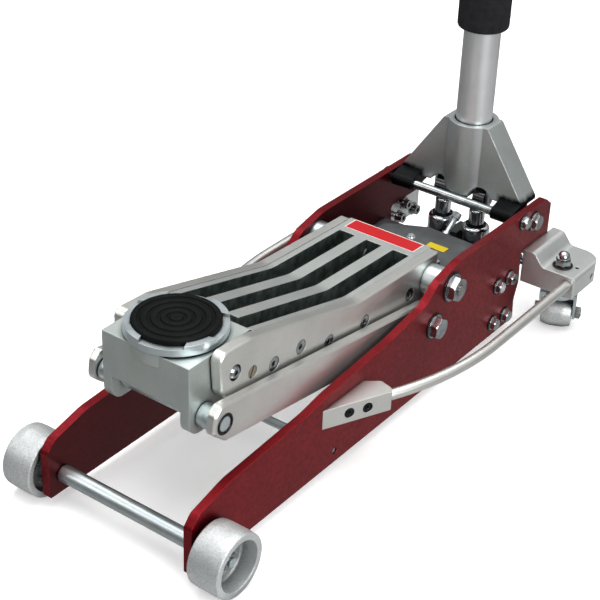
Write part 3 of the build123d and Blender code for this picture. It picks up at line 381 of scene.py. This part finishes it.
def unit_paint():
    """Dark grey paint over a casting, with dust on the upward faces."""
    look = Shader("unit_paint", Coat_Weight=0.4, Coat_Roughness=0.25)
    cloud = look.noise(30 * MM, 3)
    color = look.blend(look.spread(cloud), rgb(44, 46, 48), rgb(60, 62, 65))
    upward = look.remap(look.facing(UP), 0.6, 1.0)
    dust = look.math("MULTIPLY", upward, look.remap(cloud, 0.35, 0.7, 0.2, 0.6))
    color = look.blend(dust, color, rgb(92, 94, 95))
    # Painted shade in the corners, then a painted highlight on the edges.
    color = look.corner_shaded(color, 8 * MM, rgb(12, 12, 13))
    color = look.edge_highlighted(color, 0.8 * MM, 0.5, rgb(112, 114, 117))
    look.relief(look.noise(2.2 * MM, 3), 0.08 * MM, 0.6, 0.8 * MM)
    return look.finish(color, look.spread(cloud, 0.36, 0.5))


def dark_steel():
    """Blackened and oiled steel."""
    look = Shader("dark_steel", Metallic=0.85)
    cloud = look.noise(10 * MM, 3)
    color = look.blend(look.spread(cloud), rgb(26, 27, 29), rgb(46, 48, 51))
    # A painted highlight on the edges.
    color = look.edge_highlighted(color, 0.5 * MM, 0.6, rgb(126, 130, 134))
    look.relief(look.noise(0.6 * MM, 3), 0.02 * MM, 0.5, 0.5 * MM)
    return look.finish(color, look.spread(cloud, 0.16, 0.28))


def gloss_black():
    """Oiled black rollers with sharp highlights."""
    look = Shader("gloss_black", Coat_Weight=0.8, Coat_Roughness=0.06)
    film = look.noise(6 * MM, 3)
    color = look.blend(look.spread(film), rgb(6, 8, 8), rgb(20, 23, 22))
    # A painted highlight on the edges.
    color = look.edge_highlighted(color, 0.6 * MM, 0.5, rgb(92, 96, 96))
    look.relief(look.noise(1.5 * MM, 2), 0.02 * MM, 0.4, 0.4 * MM)
    return look.finish(color, look.spread(film, 0.10, 0.22))


def pad_rubber():
    """Matt black rubber with a fine grain, paler scuffs and a painted highlight on its edges."""
    look = Shader("pad_rubber", Specular_IOR_Level=0.12)
    cloud = look.noise(20 * MM, 4)
    scuff = look.noise(3 * MM, 5, (1, 0.3, 1))
    color = look.blend(look.spread(cloud), rgb(3, 5, 5), rgb(9, 11, 11))
    color = look.blend(look.remap(scuff, 0.6, 0.8, 0.0, 0.3), color, rgb(22, 26, 26))
    # A painted highlight on the edges.
    color = look.edge_highlighted(color, 0.6 * MM, 0.3, rgb(24, 28, 28))
    look.relief(look.noise(0.7 * MM, 3), 0.06 * MM, 0.7, 0.5 * MM)
    return look.finish(color, look.spread(scuff, 0.55, 0.7))


def sleeve_foam():
    """Closed-cell foam: small pores, soft lumps and dull black."""
    look = Shader("sleeve_foam", Specular_IOR_Level=0.15)
    pore = look.cells(1.1 * MM)
    lump = look.noise(8 * MM, 3)
    color = look.blend(look.remap(pore, 0.1, 0.7), rgb(12, 12, 13), rgb(28, 28, 30))
    color = look.blend(look.remap(lump, 0.4, 0.7, 0.0, 0.35), color, rgb(40, 40, 43))
    look.relief(lump, 0.4 * MM, 0.5)
    look.relief(pore, 0.22 * MM, 0.8)
    return look.finish(color, look.remap(pore, 0.1, 0.7, 0.75, 0.92))


def handle_tube():
    """The paler tubes of the handle, brushed along their length."""
    return satin_metal("handle_tube", rgb(248, 249, 250), rgb(253, 253, 253),
                       1.0 * MM, (1, 1, 0.04))


def printed_sheet(name, low, high, rim, paper, ink):
    """A plain printed sheet: an ink field inside a border of bare paper."""
    look = Shader(name, Coat_Weight=0.15, Coat_Roughness=0.3, Specular_IOR_Level=0.3)
    across = look.inside("X", low.x + rim, high.x - rim, 0.1 * MM)
    lengthways = look.inside("Y", low.y + rim, high.y - rim, 0.1 * MM)
    field = look.math("MULTIPLY", across, lengthways)
    wearing = look.noise(6 * MM, 4)
    color = look.blend(field, paper, ink)
    color = look.blend(look.remap(wearing, 0.6, 0.8, 0.0, 0.25), color, rgb(120, 116, 112))
    look.relief(wearing, 0.02 * MM, 0.4)
    return look.finish(color, look.spread(wearing, 0.3, 0.45))


MATERIALS = {
    "red_anodised": red_anodised(),
    "cast_aluminium": cast_aluminium(),
    "machined_aluminium": machined_aluminium(),
    "zinc_steel": zinc_steel(),
    "bright_steel": bright_steel(),
    "unit_paint": unit_paint(),
    "dark_steel": dark_steel(),
    "pad_rubber": pad_rubber(),
    "sleeve_foam": sleeve_foam(),
    "handle_tube": handle_tube(),
}
# Nodes that do not look like the rest of their slot.
SPECIAL = {
    "arm_casting": arm_casting(),
    "handle_yoke": yoke_casting(),
    "cross_rod": MATERIALS["zinc_steel"],
    "pump_rollers": gloss_black(),
    "unit_fittings": plain_chrome(),
    "arm_dowels": plug_bronze(),
    "rod_clamp_screws": MATERIALS["dark_steel"],
    "front_axle_fasteners": MATERIALS["bright_steel"],
}
wheel, bracket = wheel_casting(), bracket_casting()
for hand in ("right", "left"):
    SPECIAL[f"front_wheel_{hand}"] = wheel
    SPECIAL[f"caster_wheel_{hand}"] = wheel
    SPECIAL[f"wing_bracket_{hand}"] = bracket
    SPECIAL[f"pump_plunger_{hand}"] = SPECIAL["unit_fittings"]


def wear(piece, material):
    """Gives a piece one material in place of any that it has."""
    piece.data.materials.clear()
    piece.data.materials.append(material)


def dress_frame():
    """Every CAD node takes the material of its slot, or its own where it looks different."""
    for part in frame["record"]["subparts"]:
        node = part["node"]
        wear(frame["nodes"][node], SPECIAL.get(node, MATERIALS[part["material_slot"]]))


dress_frame()


# Pieces -------------------------------------------------------------------------------------


def place_object(name, data):
    """A new object in the scene."""
    made = bpy.data.objects.new(name, data)
    bpy.context.scene.collection.objects.link(made)
    return made


def add_piece(name, points, faces, body, slot, material=None, sharp=35):
    """A mesh piece that rides on a body and takes its finish from a slot."""
    mesh = bpy.data.meshes.new(name)
    mesh.from_pydata([tuple(point) for point in points], [], faces)
    work = bmesh.new()
    work.from_mesh(mesh)
    bmesh.ops.recalc_face_normals(work, faces=work.faces)
    work.to_mesh(mesh)
    work.free()
    mesh.polygons.foreach_set("use_smooth", [True] * len(mesh.polygons))
    mesh.set_sharp_from_angle(angle=math.radians(sharp))
    piece = place_object(name, mesh)
    wear(piece, material or MATERIALS[slot])
    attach(piece, body)
    return piece


def turn(axis, radius, angle, along):
    """A point at a radius and an angle round the X or the Z axis, and a distance along it."""
    across, up = radius * math.cos(angle), radius * math.sin(angle)
    return Vector((along, across, up) if axis == "X" else (across, up, along))


def revolve(name, axis, centre, profile, body, slot, steps=72, shape=None, sharp=35):
    """A ring turned from a closed profile of (radius, distance along the axis)."""
    count = len(profile)
    points = []
    for step in range(steps):
        angle = 2 * math.pi * step / steps
        for radius, along in profile:
            if shape:
                radius = shape(radius, angle, along)
            points.append(Vector(centre) + turn(axis, radius, angle, along))
    faces = []
    for step in range(steps):
        here, there = step * count, (step + 1) % steps * count
        for corner in range(count):
            after = (corner + 1) % count
            faces.append((here + corner, here + after, there + after, there + corner))
    return add_piece(name, points, faces, body, slot, sharp=sharp)


def flat_ring(inner, outer, one_end, other_end, chamfer):
    """The section of a flat ring with small chamfers on its outside."""
    low, high = sorted((one_end, other_end))
    return [(inner, low), (outer - chamfer, low), (outer, low + chamfer),
            (outer, high - chamfer), (outer - chamfer, high), (inner, high)]


def arc(radius, along, size, start, end, steps):
    """Points of a section on an arc between two angles in degrees."""
    points = []
    for step in range(steps + 1):
        angle = math.radians(start + (end - start) * step / steps)
        points.append((radius + size * math.cos(angle), along + size * math.sin(angle)))
    return points


def half_width(box):
    """Half of a box's width, which is the radius of an upright cylinder in it."""
    low, high = box
    return (high.x - low.x) / 2


def half_height(box):
    """Half of a box's height, which is the radius of a crosswise cylinder in it."""
    low, high = box
    return (high.z - low.z) / 2


def upright_axis(box):
    """Where the upright axis of a box meets the floor."""
    low, high = box
    return Vector(((low.x + high.x) / 2, (low.y + high.y) / 2, 0))


def cross_axis(box):
    """Where the crosswise axis of a box meets the middle plane of the jack."""
    low, high = box
    return Vector((0, (low.y + high.y) / 2, (low.z + high.z) / 2))


def solids(node):
    """The box of every separate solid of a CAD node, in the row frame."""
    mesh = frame["nodes"][node].data
    keys = [tuple(round(value, 6) for value in vertex.co) for vertex in mesh.vertices]
    leader = {key: key for key in keys}

    def find(key):
        while leader[key] != key:
            leader[key] = leader[leader[key]]
            key = leader[key]
        return key

    for polygon in mesh.polygons:
        first = find(keys[polygon.vertices[0]])
        for index in polygon.vertices[1:]:
            leader[find(keys[index])] = first
    groups = {}
    for key in set(keys):
        groups.setdefault(find(key), []).append(key)
    boxes = []
    for group in groups.values():
        low = Vector([min(point[axis] for point in group) for axis in range(3)])
        high = Vector([max(point[axis] for point in group) for axis in range(3)])
        boxes.append((low, high))
    return sorted(boxes, key=lambda box: tuple(box[0]))


def make_foam_sleeve():
    """The foam on the handle: soft ends and a slightly uneven skin."""
    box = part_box("foam_sleeve")
    low, high = box
    outer = half_width(box)
    inner = half_width(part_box("handle_lower_tube")) + 0.1 * MM
    soft = 5 * MM
    rows = 60
    profile = [(inner, low.z), (inner, high.z)]
    profile += arc(outer - soft, high.z - soft, soft, 90, 0, 6)
    for row in range(1, rows):
        profile.append((outer, high.z - soft - (high.z - low.z - 2 * soft) * row / rows))
    profile += arc(outer - soft, low.z + soft, soft, 0, -90, 6)

    def lumpy(radius, angle, along):
        if radius < inner + 1 * MM:
            return radius
        place = Vector((math.cos(angle) * 1.5, math.sin(angle) * 1.5, along * 40))
        return radius - 0.6 * MM * (1 + noise.noise(place))

    sleeve = revolve("foam_sleeve_skin", "Z", upright_axis(box), profile, "handle",
                     "sleeve_foam", 96, lumpy, sharp=80)
    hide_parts("foam_sleeve")


def make_grip():
    """The rubber grip at the top: ribs between two collars, closed over the tube's end."""
    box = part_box("handle_grip")
    low, high = box
    outer = half_width(box)
    inner = 19.7 * MM
    waist = outer - 2.8 * MM
    rib, rib_steps, swell = 7 * MM, 6, 2.2 * MM
    crown = 6 * MM
    top = high.z - 12 * MM
    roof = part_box("handle_upper_tube")[1].z + 0.2 * MM
    profile = [(inner, low.z), (outer - 1.5 * MM, low.z), (outer, low.z + 1.5 * MM),
               (outer, low.z + 8 * MM)]
    level = low.z + 10 * MM
    while level + rib < top - 4 * MM:
        for step in range(rib_steps):
            share = step / rib_steps
            profile.append((waist + swell * math.sin(math.pi * share), level + rib * share))
        level += rib
    profile += [(waist, level), (outer, top - 1 * MM)]
    profile += arc(outer - crown, high.z - crown, crown, 0, 90, 5)
    profile += [(0.8 * MM, high.z), (0.8 * MM, roof), (inner, roof)]
    grip = revolve("grip_rubber", "Z", upright_axis(box), profile, "handle", "pad_rubber")
    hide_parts("handle_grip")


def make_saddle_pad():
    """The rubber pad in the saddle: raised rings between rounded grooves."""
    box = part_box("saddle_pad")
    low, high = box
    outer = half_width(box)
    top = high.z
    # Half width and depth at the mouth, the shoulder and the floor of a groove.
    groove = ((2.4 * MM, 0), (1.6 * MM, 0.5 * MM), (1.0 * MM, 1.8 * MM))
    profile = [(0.4 * MM, low.z), (outer - 1 * MM, low.z), (outer, low.z + 1 * MM),
               (outer, top - 2.2 * MM), (outer - 0.6 * MM, top - 0.8 * MM),
               (outer - 2.2 * MM, top)]
    for radius in (37.5 * MM, 27.5 * MM, 17.5 * MM, 8.5 * MM):
        profile += [(radius + half, top - depth) for half, depth in groove]
        profile += [(radius - half, top - depth) for half, depth in reversed(groove)]
    profile += [(3.5 * MM, top), (0.4 * MM, top - 0.4 * MM)]
    pad = revolve("saddle_pad_rubber", "Z", upright_axis(box), profile, "saddle",
                  "pad_rubber", 128, sharp=50)
    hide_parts("saddle_pad")


def make_washers():
    """A dark spring washer under every bolt head on the plates."""
    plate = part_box("side_plate_right")[1].x
    bolts = ("block_bolts", "frame_bolts", "link_pivot_bolts", "arm_pivot_bolts",
             "yoke_shaft_nuts")
    boxes = [box for node in bolts for box in solids(node)]
    for index, box in enumerate(boxes):
        side = 1 if box[0].x + box[1].x > 0 else -1
        radius = half_height(box)
        section = flat_ring(radius - 2 * MM, radius + 1.6 * MM,
                            side * plate, side * (plate + 1.2 * MM), 0.3 * MM)
        revolve(f"washer_{index}", "X", cross_axis(box), section, "chassis", "dark_steel", 48)


def make_link_rings():
    """A dark snap ring round each end of the link pin, on the link's face."""
    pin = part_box("link_pin")
    radius = half_height(pin)
    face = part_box("lower_link_right")[1].x
    for side, name in ((1, "right"), (-1, "left")):
        section = flat_ring(radius + 0.4 * MM, radius + 2.4 * MM,
                            side * face, side * (face + 1 * MM), 0.3 * MM)
        revolve(f"link_ring_{name}", "X", cross_axis(pin), section,
                f"lower_link_{name}", "dark_steel", 56)


def make_barrel_seals():
    """Black seals at the foot and the mouth of each plunger barrel."""
    bore = half_width(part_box("pump_plunger_right"))
    # The barrels are the wide solids among the unit's fittings.
    barrels = [box for box in solids("unit_fittings") if 2 * half_width(box) >= 25 * MM]
    for index, box in enumerate(barrels):
        foot, mouth = box[0].z, box[1].z
        radius = half_width(box)
        seal = flat_ring(radius + 0.1 * MM, radius + 2.2 * MM, foot, foot + 3.5 * MM, 0.8 * MM)
        wiper = arc(bore + 1.8 * MM, mouth + 0.6 * MM, 1.2 * MM, 0, 360, 10)[:-1]
        for name, section in (("seal", seal), ("wiper", wiper)):
            revolve(f"barrel_{name}_{index}", "Z", upright_axis(box), section,
                    "chassis", "pad_rubber", 56)


def make_serrated_flanges():
    """The toothed flange under each caster nut."""
    teeth = 28
    for index, box in enumerate(solids("caster_nuts")):
        low, high = box
        radius = (high.y - low.y) / 2

        def toothed(value, angle, along):
            cut = value >= radius and math.cos(teeth * angle) > 0
            return value - 0.6 * MM * cut

        section = flat_ring(radius - 3 * MM, radius + 2.2 * MM,
                            low.z, low.z + 1.6 * MM, 0.4 * MM)
        revolve(f"caster_flange_{index}", "Z", upright_axis(box), section, "chassis",
                "dark_steel", 6 * teeth, toothed)


def lay_sheet(name, node, low, high, steps, body, slot, material):
    """A thin sheet laid on top of a CAD node."""
    mesh = frame["nodes"][node].data
    tree = BVHTree.FromPolygons([vertex.co for vertex in mesh.vertices],
                                [tuple(polygon.vertices) for polygon in mesh.polygons])
    above, lift = 2.0, 0.2 * MM
    points = []
    for row in range(steps + 1):
        for column in range(steps + 1):
            x = low.x + (high.x - low.x) * column / steps
            y = low.y + (high.y - low.y) * row / steps
            hit = tree.ray_cast(Vector((x, y, above)), Vector((0, 0, -1)))[0]
            points.append(Vector((x, y, hit.z + lift)))
    faces = []
    for row in range(steps):
        for column in range(steps):
            first = row * (steps + 1) + column
            faces.append((first, first + 1, first + steps + 2, first + steps + 1))
    sheet = add_piece(name, points, faces, body, slot, material=material)
    if sheet.data.polygons[0].normal.z < 0:
        sheet.data.flip_normals()


def make_labels():
    """A plain red band on the rear of the arm and a plain yellow plate on the tank."""
    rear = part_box("arm_casting")[1].y
    low = Vector((-50 * MM, rear - 34.5 * MM))
    high = Vector((48 * MM, rear - 9.5 * MM))
    band = printed_sheet("red_band", low, high, 1.2 * MM, rgb(232, 228, 222), rgb(186, 16, 24))
    lay_sheet("red_band", "arm_casting", low, high, 12, "lift_arm", "red_anodised", band)
    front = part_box("oil_tank")[0].y
    low = Vector((12 * MM, front + 44 * MM))
    high = Vector((40 * MM, front + 58 * MM))
    plate = printed_sheet("yellow_plate", low, high, 0.8 * MM, rgb(60, 56, 34), rgb(212, 186, 22))
    lay_sheet("yellow_plate", "oil_tank", low, high, 4, "chassis", "unit_paint", plate)


make_foam_sleeve()
make_grip()
make_saddle_pad()
make_washers()
make_link_rings()
make_barrel_seals()
make_serrated_flanges()
make_labels()


# Stage --------------------------------------------------------------------------------------


def grey(value):
    """A neutral colour."""
    return (value, value, value, 1.0)


def make_floor():
    """A pale floor that glows a little, so that it stays nearly white under the jack."""
    half = 9.0
    mesh = bpy.data.meshes.new("floor")
    corners = [(-half, -half, 0), (half, -half, 0), (half, half, 0), (-half, half, 0)]
    mesh.from_pydata(corners, [], [(0, 1, 2, 3)])
    floor = place_object("floor", mesh)
    look = Shader("studio_floor", Metallic=0.0, Roughness=0.6, Emission_Color=grey(1.0),
                  Emission_Strength=0.36)
    color = look.blend(look.spread(look.noise(0.4, 2)), grey(0.87), grey(0.90))
    wear(floor, look.finish(color))
    floor.visible_glossy = False


def make_backdrop():
    """A pale wall far round the floor, which closes the horizon and lights nothing."""
    steps, radius, foot, top = 96, 8.8, -0.01, 12.0
    points = []
    for step in range(steps):
        angle = 2 * math.pi * step / steps
        for level in (foot, top):
            points.append((radius * math.cos(angle), radius * math.sin(angle), level))
    faces = []
    for step in range(steps):
        here, there = 2 * step, 2 * ((step + 1) % steps)
        faces.append((here, there, there + 1, here + 1))
    mesh = bpy.data.meshes.new("backdrop")
    mesh.from_pydata(points, [], faces)
    wall = place_object("backdrop", mesh)
    look = Shader("studio_backdrop", Roughness=1.0, Emission_Strength=0.9)
    tone = look.blend(look.spread(look.noise(3.0, 1)), grey(0.93), grey(0.96))
    look.feed(tone, look.surface.inputs["Emission Color"])
    wear(wall, look.finish(grey(0.05)))
    wall.visible_diffuse = False
    wall.visible_glossy = False
    wall.visible_shadow = False


def softbox(name, place, aim, size, power):
    """A square area light that faces a point."""
    data = bpy.data.lights.new(name, "AREA")
    data.shape = "SQUARE"
    data.size = size
    data.energy = power
    lamp = place_object(name, data)
    lamp.location = place
    lamp.rotation_mode = "QUATERNION"
    lamp.rotation_quaternion = (Vector(aim) - Vector(place)).to_track_quat("-Z", "Y")


def make_world():
    """Greys by height, dark at the horizon, and brighter on the right than on the left."""
    world = bpy.data.worlds.new("studio")
    world.use_nodes = True
    tree = world.node_tree
    place = tree.nodes.new("ShaderNodeTexCoord")
    split = tree.nodes.new("ShaderNodeSeparateXYZ")
    height = tree.nodes.new("ShaderNodeMapRange")
    ramp = tree.nodes.new("ShaderNodeValToRGB")
    side = tree.nodes.new("ShaderNodeMapRange")
    product = tree.nodes.new("ShaderNodeMix")
    backing = tree.nodes["Background"]
    height.inputs["From Min"].default_value = -1.0
    stops = ramp.color_ramp.elements
    stops[0].position, stops[0].color = 0.0, grey(0.50)
    stops[1].position, stops[1].color = 1.0, grey(0.95)
    for position, value in ((0.28, 0.42), (0.46, 0.16), (0.56, 0.22), (0.74, 0.48)):
        stops.new(position).color = grey(value)
    side.inputs["From Min"].default_value = -1.0
    side.inputs["To Min"].default_value = 0.55
    side.inputs["To Max"].default_value = 1.45
    product.data_type = "RGBA"
    product.blend_type = "MULTIPLY"
    product.inputs["Factor"].default_value = 1.0
    backing.inputs["Strength"].default_value = 0.8
    for source, target in (
        (place.outputs["Generated"], split.inputs["Vector"]),
        (split.outputs["Z"], height.inputs["Value"]),
        (split.outputs["X"], side.inputs["Value"]),
        (height.outputs["Result"], ramp.inputs["Fac"]),
        (ramp.outputs["Color"], product.inputs["A"]),
        (side.outputs["Result"], product.inputs["B"]),
        (product.outputs["Result"], backing.inputs["Color"]),
    ):
        tree.links.new(source, target)
    bpy.context.scene.world = world


def make_camera():
    """The camera of the photograph: from the front right and above, with a slight roll."""
    azimuth, elevation, roll = math.radians(35.57), math.radians(31.11), math.radians(2.19)
    place = (0.8443, -1.22307, 1.02521)
    level = math.cos(elevation)
    back = Vector((math.sin(azimuth) * level, -math.cos(azimuth) * level, math.sin(elevation)))
    right = Vector((math.cos(azimuth), math.sin(azimuth), 0))
    up = back.cross(right)
    rolled_right = math.cos(roll) * right + math.sin(roll) * up
    rolled_up = math.cos(roll) * up - math.sin(roll) * right
    data = bpy.data.cameras.new("camera")
    data.sensor_width = 36.0
    data.lens = 91.74
    data.clip_start = 0.05
    data.clip_end = 50.0
    camera = place_object("camera", data)
    turned = Matrix((rolled_right, rolled_up, back)).transposed().to_4x4()
    camera.matrix_world = Matrix.Translation(place) @ turned
    bpy.context.scene.camera = camera


make_floor()
make_backdrop()
softbox("overhead", place=(-0.2, 0.3, 3.0), aim=(0, 0, 0.1), size=3.4, power=92)
softbox("front_left", place=(-1.8, -1.6, 1.6), aim=(0, -0.1, 0.1), size=1.2, power=10)
softbox("right_side", place=(2.1, -0.9, 0.9), aim=(0, -0.1, 0.1), size=1.2, power=34)
make_world()
make_camera()
bpy.context.scene.view_settings.view_transform = "Standard"
